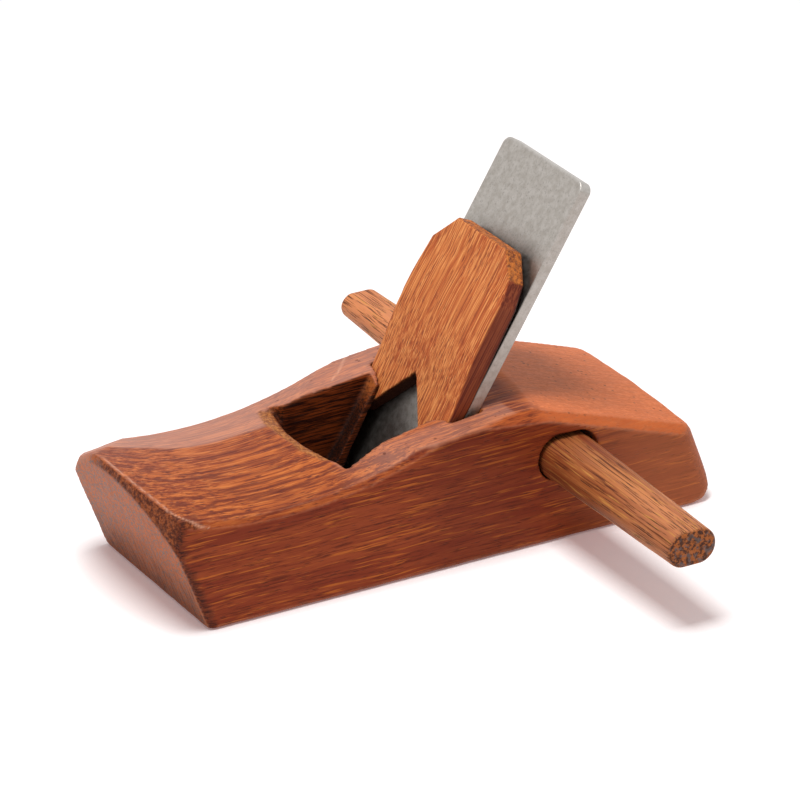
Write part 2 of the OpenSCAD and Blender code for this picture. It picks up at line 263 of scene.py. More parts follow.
def read_points(mesh):
    """Places of a mesh's vertices, in millimetres."""
    flat = np.zeros(len(mesh.vertices) * 3, np.float32)
    mesh.vertices.foreach_get("co", flat)
    return flat.reshape(-1, 3).astype(float) / MM


def read_normals(mesh):
    """Directions that a mesh's vertices face."""
    flat = np.zeros(len(mesh.vertices) * 3, np.float32)
    mesh.vertex_normals.foreach_get("vector", flat)
    return flat.reshape(-1, 3).astype(float)


def read_edges(mesh):
    """Pairs of vertex numbers of a mesh's edges."""
    flat = np.zeros(len(mesh.edges) * 2, np.int32)
    mesh.edges.foreach_get("vertices", flat)
    return flat.reshape(-1, 2)


def move_points(mesh, points):
    """Puts a mesh's vertices at places in millimetres."""
    mesh.vertices.foreach_set("co", (points * MM).astype(np.float32).ravel())
    mesh.update()


def keep_value(mesh, name, values):
    """Keeps one number per vertex as an attribute for the materials."""
    layer = mesh.attributes.new(name, "FLOAT", "POINT")
    layer.data.foreach_set("value", np.clip(values, 0, 1).astype(np.float32))


def bulges(points, edges, normals, rounds):
    """How far each vertex stands out from its surroundings."""
    return np.einsum("ij,ij->i", points - smoothed(points, edges, rounds, 0.5), normals)


def keep_worn(mesh, scale):
    """Keeps how far each vertex of a small piece stands out, over a scale, as its wear."""
    keep_value(mesh, "worn", bulges(read_points(mesh), read_edges(mesh), read_normals(mesh), 8) / scale)


def show(name, mesh, body, material):
    """Puts a finished mesh into the scene in place of a body's solid."""
    piece = bpy.data.objects.new(name, mesh)
    bpy.context.scene.collection.objects.link(piece)
    mesh.materials.clear()
    mesh.materials.append(material)
    mesh.shade_smooth()
    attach(piece, body)
    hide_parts(body)


def closed_mesh(name, points, faces):
    """Mesh of points in millimetres, with seams merged and every face turned outwards."""
    mesh = bpy.data.meshes.new(name)
    mesh.from_pydata((points * MM).tolist(), [], faces)
    form = bmesh.new()
    form.from_mesh(mesh)
    bmesh.ops.remove_doubles(form, verts=form.verts, dist=1e-7)
    bmesh.ops.recalc_face_normals(form, faces=form.faces)
    form.to_mesh(mesh)
    form.free()
    return mesh


def ring_faces(rings, around, start=0):
    """Quads that join each closed ring of points to the next one."""
    at = start + np.arange(rings * around).reshape(rings, around)
    turn = np.roll(at, -1, axis=1)
    quads = np.stack([at[:-1], turn[:-1], turn[1:], at[1:]], axis=-1)
    return quads.reshape(-1, 4).tolist()


def tube_faces(rings, around):
    """Quads between closed rings, with one face over the first ring and one over the last."""
    last = (rings - 1) * around
    return ring_faces(rings, around) + [list(range(around)), list(range(last, last + around))]


def grid_faces(rows, columns, start=0):
    """Quads of an open grid of points."""
    at = start + np.arange(rows * columns).reshape(rows, columns)
    quads = np.stack([at[:-1, :-1], at[:-1, 1:], at[1:, 1:], at[1:, :-1]], axis=-1)
    return quads.reshape(-1, 4).tolist()


def bed_point(u, y, w):
    """Point at u up the bed, y across and w in front of it, in millimetres."""
    return np.stack([EDGE_X + u * math.cos(BED) - w * math.sin(BED), y + 0 * u,
                     u * math.sin(BED) + w * math.cos(BED)], axis=-1)


def bed_places(mesh):
    """Place of each vertex along the bed, across it and in front of it, in millimetres."""
    x, y, z = read_points(mesh).T
    x = x - EDGE_X
    return x * math.cos(BED) + z * math.sin(BED), y, z * math.cos(BED) - x * math.sin(BED)


# Body.

def sharp_points(mesh, grid):
    """Points in even steps along the edges where a solid's faces meet at more than the SHARP angle."""
    form = bmesh.new()
    form.from_mesh(mesh)
    ends = np.array([[v.co[:] for v in edge.verts] for edge in form.edges
                     if len(edge.link_faces) == 2 and edge.calc_face_angle() > SHARP])
    form.free()
    length = np.linalg.norm(ends[:, 1] - ends[:, 0], axis=1)
    steps = np.ceil(length / (grid * MM / EDGE_PARTS)).astype(int) + 1
    at = np.arange(steps.sum()) - np.repeat(np.cumsum(steps) - steps, steps)
    share = (at / np.repeat(np.maximum(steps - 1, 1), steps))[:, None]
    first, last = (np.repeat(ends[:, k], steps, axis=0) for k in (0, 1))
    return first * (1 - share) + last * share


def wrapped(block, target, method):
    """Vertices of a block's mesh, drawn to the nearest place on another mesh."""
    wrap = block.modifiers.new("wrap", "SHRINKWRAP")
    wrap.target = target
    wrap.wrap_method = method
    graph = bpy.context.evaluated_depsgraph_get()
    mesh = bpy.data.meshes.new_from_object(block.evaluated_get(graph))
    block.modifiers.remove(wrap)
    return mesh


def fine_copy(node, grid):
    """Even mesh over a copy of a solid: its merged copy, remeshed in steps of grid, with each vertex set
    back on the solid's nearest face, and the ones next to a sharp edge set on that edge."""
    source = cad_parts[node].data.copy()
    form = bmesh.new()
    form.from_mesh(source)
    bmesh.ops.remove_doubles(form, verts=form.verts, dist=1e-6)
    form.to_mesh(source)
    form.free()
    sharp = bpy.data.meshes.new(node + "_sharp")
    sharp.from_pydata(sharp_points(source, grid).tolist(), [], [])
    things = [bpy.data.objects.new(node + end, mesh) for end, mesh in
              (("_target", source), ("_edges", sharp), ("_block", source.copy()))]
    target, edges, block = things
    for thing in things:
        bpy.context.scene.collection.objects.link(thing)
    remesh = block.modifiers.new("remesh", "REMESH")
    remesh.mode = "VOXEL"
    remesh.voxel_size = grid * MM
    mesh = wrapped(block, target, "NEAREST_SURFACEPOINT")
    block.modifiers.remove(remesh)
    block.data = mesh
    points = read_points(mesh)
    snapped = read_points(wrapped(block, edges, "NEAREST_VERTEX"))
    near = np.linalg.norm(snapped - points, axis=1) < EDGE_REACH * grid
    points[near] = snapped[near]
    move_points(mesh, points)
    for thing in things:
        bpy.data.objects.remove(thing)
    return mesh


def toe_marks(points, normals):
    """Marks of the toe: the filed band, a pale line of wear and painted highlight above it, along the far
    ridge and round the corner, the torn fringe of the sides and the crumbled near corner. The band follows
    a cone that cuts the face, and the corner an arc behind it."""
    x, y, z = points.T
    upright = normals[:, 2]
    up = -(x - TOE_X) * math.sin(TOE_RAKE) + z * math.cos(TOE_RAKE)
    back = (x - TOE_X) * math.cos(TOE_RAKE) + z * math.sin(TOE_RAKE)
    reach = np.hypot(up - (TOE_FACE - TOE_ARCH_R), y)
    away = (reach - TOE_ARCH_R - back * math.tan(TOE_BEVEL)) * math.cos(TOE_BEVEL)
    filed = np.clip(1.3 - np.abs(away) / FILED_HALF, 0, 1) * (back > -0.2) * (back < TOE_MARKS)
    filed *= step(FILED_END - y, 0, FILED_FADE)
    torn = FRINGE_DEPTH + FRINGE_TORN * lumps(points, (2.6, 0.9, 0.8), 6)
    torn += FRINGE_NEAR * step(z, 14, 21) * (y < 0)
    fringe = step(torn - back, 0, 0.9) * (np.abs(y) > HALF_W - 0.9) * (back > 0.15) * (z < FRINGE_TOP)
    # Pale line of wear and painted highlight just above the filed band.
    wear_and_highlight = line(away + PALE_LINE_BEHIND, PALE_LINE_HALF) * step(upright, 0.8, 0.95) * (back < TOE_MARKS)
    wear_and_highlight *= step(6 - y, 0, 3)
    behind = -CORNER_BEHIND - away
    in_from = y + HALF_W
    corner = (behind < CORNER_R) & (in_from < CORNER_R) & (behind > -0.8) & (back < 8) & (upright > 0.55)
    from_arc = np.hypot(CORNER_R - behind, CORNER_R - in_from) - CORNER_R
    ridge = line(x - np.interp(y, RIDGE_Y, RIDGE_X), RIDGE_HALF) * (y > 12.6) * step(upright, 0.6, 0.8)
    wear_and_highlight = np.where(corner, line(from_arc, 0.22), np.maximum(wear_and_highlight, ridge))
    crumbled = np.maximum(filed, corner * step(from_arc, 0, 0.3))
    return {"filed": filed, "fringe": fringe, "torn": fringe * (z >= SOLE_Z), "wear_and_highlight": wear_and_highlight,
            "crumbled": crumbled}


def throat_marks(points, normals):
    """Marks of the throat and the handle's hole: the crumbled lip, the walls cut inside, painted dark as
    cut wood and as shade, the cut that gets a rough face, the painted shade in the depth and the painted
    lit edge of the abutments."""
    x, y, z = points.T
    upright = normals[:, 2]
    lip = np.abs((points - np.array([THROAT_X, 0, LIP_Z])) @ LIP_FACING) < LIP_THICK
    lip &= (normals @ LIP_FACING > 0.9) & within(x, LIP_SPAN_X) & within(y, LIP_SPAN_Y)
    room = within(x, ROOM_X) & within(y, ROOM_Y) & within(z, ROOM_Z) & ~lip
    room &= (upright < 0.75) | ((upright < 0.9) & (z < 20))
    from_hole = np.hypot(np.clip(np.abs(x - HANDLE_X) - HANDLE_FLAT, 0, None), z - HOLE_Z)
    hole = from_hole < HOLE_R + HOLE_SKIN
    inner = room | (hole & (np.abs(y) < HALF_W - 0.3))
    front = step(normals @ BED_FRONT, 0.4, 0.8) * room
    shade = front * step(z, *SHADE_Z) + room * step(z, *DARK_Z)
    shade = np.maximum(shade, hole & (np.abs(y) < HALF_W - 0.1))
    rim = (from_hole < HOLE_R + HOLE_RIM) & (np.abs(y) > HALF_W - 1)
    return {"lip": lip, "inner": inner, "cut": inner & (z > 6) & ~hole, "shade": shade,
            "lit": front * step(z, *LIT_Z), "rim": rim}


def tone_marks(points, normals):
    """Marks that only the tones follow: end grain, faces that look up, the heel's bevels and a painted
    sheen on the top, pale and pinkish, whose border wanders along the grain."""
    x, y, _ = points.T
    lengthwise, sideways, upright = np.abs(normals[:, 0]), np.abs(normals[:, 1]), normals[:, 2]
    bevel = within(sideways, (0.3, 0.97)) & (upright > 0.2) & (np.abs(y) > HALF_W - 2.2) & (x > -2)
    border = PALE_Y + PALE_TURN * np.clip(PALE_TURN_X - x, 0, 20) + 0.9 * lumps(points, (5, 1, 50), 15)
    painted_sheen = 0.85 * step(y, border, border + 1.1) * (x < PALE_BACK_X)
    painted_sheen += 0.75 * (y > PALE_FAR_Y) * (x >= PALE_BACK_X) * (x < 6)
    painted_sheen += 0.45 * step(-y, 11.5, 13.5) * step(x, -24, -14)
    return {"ends": step(lengthwise, 0.55, 0.85) * (np.abs(y) < HALF_W - 0.2),
            "upward": step(upright, 0.35, 0.75), "bevel": bevel,
            "painted_sheen": painted_sheen * (upright > 0.8) * (x < PALE_END_X)}


def body_mesh():
    """Body of the plane: the solid's fine copy with eased edges, a slightly uneven hand-planed surface, a
    rough filed band on the toe and dents along its edges. Every move goes into the wood. The lowest part
    of the throat stays as it is, because the iron and the wedge slide there."""
    mesh = fine_copy("body", BODY_GRID)
    edges = read_edges(mesh)
    points = read_points(mesh)
    normals = read_normals(mesh)
    marks = {**toe_marks(points, normals), **throat_marks(points, normals), **tone_marks(points, normals)}
    worn = blurred(np.clip(bulges(points, edges, normals, 14) / 0.22, -1, 1), edges, 2)
    inner = marks["inner"]
    planed = ~inner & (points[:, 2] >= SOLE_Z)
    eased = points
    for share in 3 * (0.5, -0.35):
        eased = smoothed(eased, edges, 1, share)
    depth = sum(amount * lumps(points, size, seed) for amount, size, seed in WAVES) * planed
    amount, size, seed = DENTS
    depth += amount * np.clip(worn, 0, 1) * lumps(points, size, seed) ** 2
    for name, amount, size, seed in ROUGHNESS:
        depth += amount * marks[name] * lumps(points, size, seed)
    depth = blurred(depth, edges, 1)
    held = inner & (points[:, 2] < HELD_Z)
    low, high = (np.array(corner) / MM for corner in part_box("body"))
    placed = np.where(held[:, None], points, eased - normals * depth[:, None])
    move_points(mesh, np.clip(placed, low, high))
    plain = np.maximum(np.clip(marks["fringe"] + marks["filed"], 0, 1), marks["rim"])
    keep_value(mesh, "worn", worn * (1 - plain))
    # Painted shade in the body's hollows and creases.
    keep_value(mesh, "hollow", -worn)
    for names, rounds in ((("crumbled", "fringe", "wear_and_highlight"), 0), (("ends",), 2),
                          (("shade", "lit", "filed", "lip", "inner", "painted_sheen", "upward", "bevel"), 1)):
        for name in names:
            keep_value(mesh, name, blurred(marks[name].astype(float), edges, rounds))
    return mesh


# Iron.

def iron_mesh():
    """Iron: its side profile, with the ground bevel and eased corners, carried across the width. Near the
    sides the profile draws in along a small arc, and its top follows the round of the corner."""
    ease = IRON_EASE
    turn = np.sin(np.linspace(0, math.pi / 2, 9))
    y = [np.linspace(0, IRON_HALF - IRON_CORNER, 12)]
    y += [IRON_HALF - radius + radius * turn for radius in (IRON_CORNER, ease)]
    y = np.unique(np.round(np.concatenate(y), 5))
    y = np.concatenate([-y[:0:-1], y])
    draw = arc_fall(np.abs(y) - IRON_HALF + ease, ease)[:, None]
    top = IRON_TOP - arc_fall(np.abs(y) - IRON_HALF + IRON_CORNER, IRON_CORNER)[:, None]
    rows = np.linspace(0, 1, IRON_ROWS)[None, :]
    grind = np.linspace(0, 1, 6)[None, :-1]
    corner = np.linspace(0, math.pi / 2, 5)[None, :]
    run = IRON_T / math.tan(IRON_BEVEL)
    parts = [(IRON_LOW + draw + grind * run, -draw - grind * (IRON_T - 2 * draw)),
             (IRON_LOW + run + rows * (top - ease - IRON_LOW - run), -IRON_T + draw + 0 * rows),
             (top - ease + (ease - draw) * np.sin(corner), -IRON_T + draw + ease * (1 - np.cos(corner))),
             (top - ease + (ease - draw) * np.cos(corner), -draw - ease * (1 - np.sin(corner))),
             (IRON_LOW + draw + rows[:, ::-1] * (top - ease - IRON_LOW - draw), -draw + 0 * rows)]
    u, w = (np.concatenate(side, axis=1) for side in zip(*parts))
    points = bed_point(u, y[:, None] + 0 * u, w)
    mesh = closed_mesh("iron", points.reshape(-1, 3), tube_faces(*u.shape))
    keep_worn(mesh, 0.05)
    # Painted shade on the iron's front.
    keep_value(mesh, "painted_iron_shade", iron_shade(*bed_places(mesh)))
    mesh.set_sharp_from_angle(angle=IRON_SHARP)
    return mesh


def iron_shade(up, across, out):
    """Painted shade on the iron's front: beneath the wedge, as a painted shadow in a halo round it and down
    in the throat.
    """
    half = wedge_half(up, CLIP_NEAR, TOP_NEAR, WEDGE_DRAW)
    beyond = np.hypot(np.clip(up - WEDGE_HIGH, 0, None), 0.8 * np.clip(np.abs(across) - half, 0, None))
    halo = (0.2 + 0.4 * step(-across, -6, 7)) * line(beyond, HALO_R)
    covered = (beyond <= 0) & (up < WEDGE_HIGH)
    painted_iron_shade = np.where(covered, 0.35 + 0.3 * step(-across, 11, 12), halo) * step(up, EXIT_U, EXIT_U + 3)
    deep = 0.75 * step(EXIT_U - up + 1.3 * across + 4, 0, 18) * (up <= EXIT_U)
    return np.maximum(painted_iron_shade, deep) * step(out, -0.3, -0.1)


# Wedge.

def wedge_half(u, clip, top, draw):
    """Half the wedge's width at a height u: it draws in towards a clipped corner that ends at top."""
    return np.interp(u, [WEDGE_HIGH - 2 * clip, WEDGE_HIGH - clip, WEDGE_HIGH],
                     [WEDGE_HALF, WEDGE_HALF - draw, top])


def wedge_stand(u):
    """How far the wedge's back stands off the iron at a height u."""
    return WEDGE_BACK + WEDGE_STAND * step(u, EXIT_U + 2, WEDGE_HIGH)


def wedge_sheets(u, half, far_half, gap):
    """Front and back sheet of the wedge's near half, then of its far half, as grids of points. Near each
    edge a sheet falls along an arc of the edge's radius, and small chips are out of the front's edge."""
    across = (1 - np.cos(np.linspace(0, math.pi, WEDGE_COLUMNS))) / 2
    near = -half[:, None] + across * (NOTCH_SHIFT - gap + half)[:, None]
    far = (NOTCH_SHIFT + gap)[:, None] + across * (far_half - NOTCH_SHIFT - gap)[:, None]
    u = u[:, None] + 0 * near
    gap = gap[:, None]
    swell = WEDGE_SWELL * np.sin(math.pi * step(u, EXIT_U, SWELL_TOP))
    front = np.minimum(WEDGE_T + (u - EXIT_U) * math.tan(WEDGE_TAPER) + swell,
                       WEDGE_FOOT + (u - WEDGE_LOW) * FOOT_SLOPE)
    front_u = WEDGE_LOW + (u - WEDGE_LOW) * (1 - TOP_LEAN / (WEDGE_HIGH - WEDGE_LOW))
    sheets = []
    for y, reach_y in ((near, half), (far, far_half)):
        away = np.minimum(reach_y[:, None] - np.abs(y), np.minimum(WEDGE_HIGH - u, u - WEDGE_LOW))
        beside = np.abs(y - NOTCH_SHIFT)
        above = np.hypot(np.clip(NOTCH_U - u, None, 0), np.clip(beside - NOTCH_BLUNT, 0, None))
        away = np.minimum(away, np.where(gap > 0, beside - gap, above))
        reach = np.clip(1 - away / WEDGE_EDGE, 0, 1)
        fall = WEDGE_EDGE * (1 - np.sqrt(1 - reach ** 2))
        spot = np.stack([u.ravel(), y.ravel(), 0 * y.ravel()], axis=1)
        planed = 0.1 * lumps(spot, (14, 4, 1), 31) + 0.035 * lumps(spot, (7, 0.8, 1), 32)
        chips = 0.25 * reach * lumps(spot, (1.6, 1.2, 1), 33).reshape(y.shape) ** 2
        sheets.append(bed_point(front_u, y, front - fall - planed.reshape(y.shape) - chips))
        sheets.append(bed_point(u, y, wedge_stand(u) + 1.3 * fall))
    return sheets


def wedge_wall(sheets, tip):
    """Rings of points from the outline of the front sheets to that of the back sheets. The outline also
    runs up and down the notch, and tip counts the rows up to the one above the notch's tip."""
    ends = []
    for near, far in (sheets[0::2], sheets[1::2]):
        ends.append(np.concatenate([near[::-1, 0], near[0, 1:], near[1:tip, -1], far[tip - 2::-1, 0],
                                    far[0, 1:], far[1:, -1], far[-1, -2::-1], near[-1, -2:0:-1]]))
    mix = np.linspace(0, 1, WALL_RINGS)[:, None, None]
    return ends[0][None] * (1 - mix) + ends[1][None] * mix


def wedge_marks(mesh):
    """Keeps where the wedge has its flanks, darker partly as painted shade, the painted shade along its
    back and in its notch, and end grain.
    """
    facing = read_normals(mesh)
    up, across, out = bed_places(mesh)
    slant = facing[:, 0] * math.cos(BED) + facing[:, 2] * math.sin(BED)
    sideways = np.abs(facing[:, 1])
    corner = WEDGE_HIGH - np.where(across < 0, CLIP_NEAR, CLIP_FAR)
    notch = (up < NOTCH_U + 1) * (np.abs(across) < NOTCH_HALF + 2) * step(-slant, 0.2, 0.6)
    behind = np.maximum(step(0.5 + wedge_stand(up) - out, 0, 0.2), notch)
    # Painted shade along the back edges, in the gap to the iron, and in the notch.
    keep_value(mesh, "gap_shade", behind * np.maximum(step(-facing @ BED_FRONT, -0.6, -0.3), notch))
    # Flanks, whose dark red is partly painted shade.
    keep_value(mesh, "flank", step(sideways, 0.6, 0.85) * (up < corner + 0.3))
    keep_value(mesh, "ends", np.maximum(step(sideways, 0.3, 0.5) * (up > corner),
                                        step(np.abs(slant), 0.5, 0.8) * (up > WEDGE_HIGH - 3)))


def wedge_mesh():
    """Wedge: a front and a back sheet over the forked outline, in two halves that part at the notch, joined
    by a wall round the outline. Its rows lie closer towards its two ends, and one of them at the notch."""
    u = WEDGE_LOW + (WEDGE_HIGH - WEDGE_LOW) * (1 - np.cos(np.linspace(0, math.pi, WEDGE_ROWS))) / 2
    apex = int(np.argmin(np.abs(u - NOTCH_U)))
    u[apex] = NOTCH_U
    spots = np.stack([u, 0 * u, 0 * u], axis=1)
    rough = 0.07 * lumps(spots, 5, 22) + 0.03 * lumps(spots, 1.4, 23)
    half = wedge_half(u, CLIP_NEAR, TOP_NEAR, WEDGE_DRAW) - rough
    bulge = WEDGE_BULGE * step(WEDGE_HIGH - CLIP_FAR - u, 0, 7)
    far_half = wedge_half(u, CLIP_FAR, TOP_FAR, 0.0) - rough + bulge
    open_by = (NOTCH_U - u) / (NOTCH_U - WEDGE_LOW)
    gap = np.where(u <= NOTCH_U, NOTCH_BLUNT + open_by * (NOTCH_HALF - NOTCH_BLUNT), 0)
    gap = gap - 0.2 * lumps(spots, 2.5, 21) * (gap > 1)
    sheets = wedge_sheets(u, half, far_half, gap)
    wall = wedge_wall(sheets, apex + 2)
    sheet_size = WEDGE_ROWS * WEDGE_COLUMNS
    faces = ring_faces(*wall.shape[:2], len(sheets) * sheet_size)
    for k in range(len(sheets)):
        faces += grid_faces(WEDGE_ROWS, WEDGE_COLUMNS, k * sheet_size)
    points = np.concatenate([part.reshape(-1, 3) for part in (*sheets, wall)])
    mesh = closed_mesh("wedge", points, faces)
    keep_worn(mesh, 0.12)
    wedge_marks(mesh)
    return mesh


# Handle.

def oval(radius, flat):
    """Angle and sideways shift of evenly spaced points round an oval of two half circles and two flats."""
    run = (np.arange(HANDLE_AROUND) / HANDLE_AROUND)[None, :] * (2 * math.pi * radius + 4 * flat)
    arc = math.pi * radius / 2
    legs = [run < arc, run < arc + 2 * flat, run < 3 * arc + 2 * flat, run < 3 * arc + 4 * flat]
    angle = np.select(legs, [run / radius, math.pi / 2 + 0 * run, (run - 2 * flat) / radius,
                             3 * math.pi / 2 + 0 * run], (run - 4 * flat) / radius)
    shift = np.select(legs, [flat + 0 * run, flat - (run - arc), -flat + 0 * run,
                             -flat + (run - 3 * arc - 2 * flat)], flat + 0 * run)
    return angle, shift


def handle_mesh():
    """Handle: an oval carried along Y with a radius that tapers from the body to both ends. At each end it
    turns in along a small arc and closes over a slightly uneven face."""
    first, last = HANDLE_STATIONS[0], HANDLE_STATIONS[-1]
    y = np.linspace(first + HANDLE_BEVEL, last - HANDLE_BEVEL, HANDLE_ROWS)
    radius = np.interp(y, HANDLE_STATIONS, HANDLE_RADII)
    turn = np.linspace(0, math.pi / 2, 6)[1:]
    face = np.linspace(1, 0.04, 12)[1:]
    out = HANDLE_BEVEL * np.concatenate([np.sin(turn), np.ones(len(face))])
    flat = np.concatenate([np.ones(len(turn)), face])
    caps = [np.concatenate([r - HANDLE_BEVEL * (1 - np.cos(turn)), (r - HANDLE_BEVEL) * face])
            for r in (radius[0], radius[-1])]
    y = np.concatenate([(y[0] - out)[::-1], y, y[-1] + out])[:, None]
    radius = np.concatenate([caps[0][::-1], radius, caps[1]])[:, None]
    flat = HANDLE_FLAT * np.concatenate([flat[::-1], np.ones(HANDLE_ROWS), flat])[:, None]
    angle, shift = oval(radius, flat)
    along = y + 0 * angle
    spot = np.stack([np.cos(angle) * 4, along, np.sin(angle) * 4], axis=-1).reshape(-1, 3)
    cut = 0.2 * lumps(spot, (3, 22, 3), 41) + 0.07 * lumps(spot, (1.2, 8, 1.2), 42)
    cut = cut.reshape(angle.shape) * np.clip(radius / 2, 0, 1)
    resting = (np.abs(along) < HALF_W + 1) & (np.sin(angle) < -0.5)
    radius = radius + HANDLE_FULLER * step(along, HALF_W, last) - np.where(resting, 0.3 * cut, cut)
    x = HANDLE_X + HANDLE_SKEW * along + shift + radius * np.cos(angle)
    z = HANDLE_Z + HANDLE_LIFT * (along + HALF_W) + radius * np.sin(angle)
    sawn = 0.16 * lumps(np.stack([x, 0 * x, z], axis=-1).reshape(-1, 3), (1.4, 1, 0.9), 43).reshape(x.shape)
    end = ~within(along, (first + 0.1, last - 0.1))
    points = np.stack([x, along - np.sign(along) * sawn * end, z], axis=-1)
    mesh = closed_mesh("handle", points.reshape(-1, 3), tube_faces(*x.shape))
    keep_worn(mesh, 0.12)
    keep_value(mesh, "ends", step(np.abs(read_normals(mesh)[:, 1]), 0.5, 0.8))
    return mesh


# Materials.

def tone(code):
    """Linear colour of a six-figure display code."""
    raw = np.array([int(code[i:i + 2], 16) for i in (0, 2, 4)]) / 255
    linear = np.where(raw <= 0.04045, raw / 12.92, ((raw + 0.055) / 1.055) ** 2.4)
    return (*(float(v) for v in linear), 1.0)


def put(tree, kind, sockets=None, **settings):
    """Adds a node, with its settings and its sockets linked or filled in."""
    made = tree.nodes.new("ShaderNode" + kind)
    for key, value in settings.items():
        setattr(made, key, value)
    for key, value in (sockets or {}).items():
        if isinstance(value, bpy.types.NodeSocket):
            tree.links.new(value, made.inputs[key])
        else:
            made.inputs[key].default_value = value
    return made


def sums(tree, operation, first, *others):
    """One sum over two or more numbers, taken in turn."""
    for other in others:
        first = put(tree, "Math", {0: first, 1: other}, operation=operation).outputs[0]
    return first


def times(tree, *values):
    """Product of two or more numbers."""
    return sums(tree, "MULTIPLY", *values)


def spread(tree, value, low, high, to_low=0.0, to_high=1.0):
    """Carries low to high over to to_low to to_high, with soft ends."""
    return put(tree, "MapRange", {0: value, 1: low, 2: high, 3: to_low, 4: to_high},
               interpolation_type="SMOOTHSTEP").outputs[0]


def stretched(tree, vector, scale):
    """A place multiplied by scale on each axis."""
    return put(tree, "VectorMath", {0: vector, 1: scale}, operation="MULTIPLY").outputs[0]


def speckle(tree, vector, scale, detail=3.0, rough=0.55):
    """Cloudy noise from 0 to 1. Its scale is one number, or one for each axis."""
    if isinstance(scale, tuple):
        vector, scale = stretched(tree, vector, scale), 1.0
    sockets = {"Vector": vector, "Scale": scale, "Detail": detail, "Roughness": rough}
    return put(tree, "TexNoise", sockets).outputs[0]


def cells(tree, vector, scale):
    """Distance from the middle of the nearest of many scattered cells."""
    return put(tree, "TexVoronoi", {"Vector": vector, "Scale": scale}, feature="F1").outputs["Distance"]


def object_place(tree):
    """Place on the piece."""
    return put(tree, "TexCoord").outputs["Object"]


def turned(tree, vector, turn):
    """A place turned about the three axes."""
    return put(tree, "Mapping", {"Vector": vector, "Rotation": turn}).outputs[0]


def axis(tree, vector, name):
    """One axis of a place."""
    return put(tree, "SeparateXYZ", {0: vector}).outputs[name]


def kept(tree, name):
    """A value kept with the mesh."""
    return put(tree, "Attribute", attribute_name=name).outputs["Fac"]


def over(tree, color, mask, amount, layer):
    """Lays a tone or another colour over a colour by a mask times an amount."""
    layer = tone(layer) if isinstance(layer, str) else layer
    mix = put(tree, "Mix", {0: times(tree, mask, amount), 6: color, 7: layer}, data_type="RGBA")
    return mix.outputs[2]


def two_tones(tree, value, low, high, first, second):
    """One tone up to low, another from high on, and a soft change between them."""
    return over(tree, tone(first), spread(tree, value, low, high), 1.0, second)


def new_group(name, inputs, outputs):
    """Shader group with named sockets; gives its tree, its inputs and its output node."""
    group = bpy.data.node_groups.new(name, "ShaderNodeTree")
    for way, sockets in (("INPUT", inputs), ("OUTPUT", outputs)):
        for label, kind in sockets:
            group.interface.new_socket(name=label, in_out=way, socket_type="NodeSocket" + kind)
    return group, group.nodes.new("NodeGroupInput").outputs, group.nodes.new("NodeGroupOutput")


def make_grain():
    """Wood figure for a grain that runs along X: slow bands, thin streaks, sparse bright dashes and long
    pores that show as dashes along the grain and as dots across it."""
    scales = ["Band Scale", "Streak Scale", "Dash Scale", "Pore Scale"]
    made = ["Bands", "Streaks", "Dashes", "Pores", "Height"]
    group, given, out = new_group(
        "grain_figure",
        [(label, "Vector") for label in ["Vector", *scales, "Sway"]] + [("Pore Size", "Float")],
        [(label, "Float") for label in made])
    sway = put(group, "TexNoise", {"Vector": given["Vector"], "Scale": 55.0, "Detail": 2.0}).outputs[1]
    sway = put(group, "VectorMath", {0: sway, 1: (0.5, 0.5, 0.5)}, operation="SUBTRACT").outputs[0]
    sway = stretched(group, sway, given["Sway"])
    place = put(group, "VectorMath", {0: given["Vector"], 1: sway}, operation="ADD").outputs[0]
    band_at, streak_at, dash_at, pore_at = (stretched(group, place, given[label]) for label in scales)
    bands = speckle(group, band_at, 1.0)
    streaks = speckle(group, streak_at, 1.0, 3.0, 0.65)
    dashes = spread(group, speckle(group, dash_at, 1.0, 2.0, 0.5), 0.56, 0.7)
    size = given["Pore Size"]
    sockets = {0: cells(group, pore_at, 1.0), 1: size, 2: times(group, size, 0.55), 3: 0.0, 4: 1.0}
    crowd = spread(group, speckle(group, place, 260.0, 2.0), 0.36, 0.56)
    pores = times(group, put(group, "MapRange", sockets).outputs[0], crowd)
    height = sums(group, "SUBTRACT", times(group, streaks, 0.4), pores)
    for label, value in zip(made, (bands, streaks, dashes, pores, height)):
        group.links.new(value, out.inputs[label])
    return group


def make_rubbed():
    """Edge wear: the piece's worn value broken up by fine noise."""
    group, given, out = new_group(
        "rubbed_edges", [("Vector", "Vector"), ("Worn", "Float"), ("Amount", "Float")], [("Mask", "Float")])
    broken = speckle(group, given["Vector"], 900.0, 4.0, 0.65)
    soft = times(group, given["Worn"], sums(group, "ADD", broken, 0.45))
    group.links.new(times(group, spread(group, soft, 0.28, 0.8), given["Amount"]), out.inputs["Mask"])
    return group


def figure(tree, vector, bands, streaks, dashes, pores, pore_size, sway):
    """The grain group with this wood's own scales, and how far its lines wander, in metres."""
    sockets = {"Vector": vector, "Band Scale": bands, "Streak Scale": streaks, "Dash Scale": dashes,
               "Pore Scale": pores, "Pore Size": pore_size, "Sway": (0.0, sway, sway)}
    return put(tree, "Group", sockets, node_tree=grain_group).outputs


def rubbed(tree, color, vector, amount, code):
    """Lays a tone over a colour where the piece's edges are worn."""
    sockets = {"Vector": vector, "Worn": kept(tree, "worn"), "Amount": amount}
    return over(tree, color, put(tree, "Group", sockets, node_tree=rubbed_group).outputs[0], 1.0, code)


def new_material(name):
    """Empty material; gives it, its tree and its surface shader."""
    material = bpy.data.materials.new(name)
    material.use_nodes = True
    tree = material.node_tree
    tree.nodes.clear()
    shader = tree.nodes.new("ShaderNodeBsdfPrincipled")
    tree.links.new(shader.outputs[0], tree.nodes.new("ShaderNodeOutputMaterial").inputs[0])
    return material, tree, shader


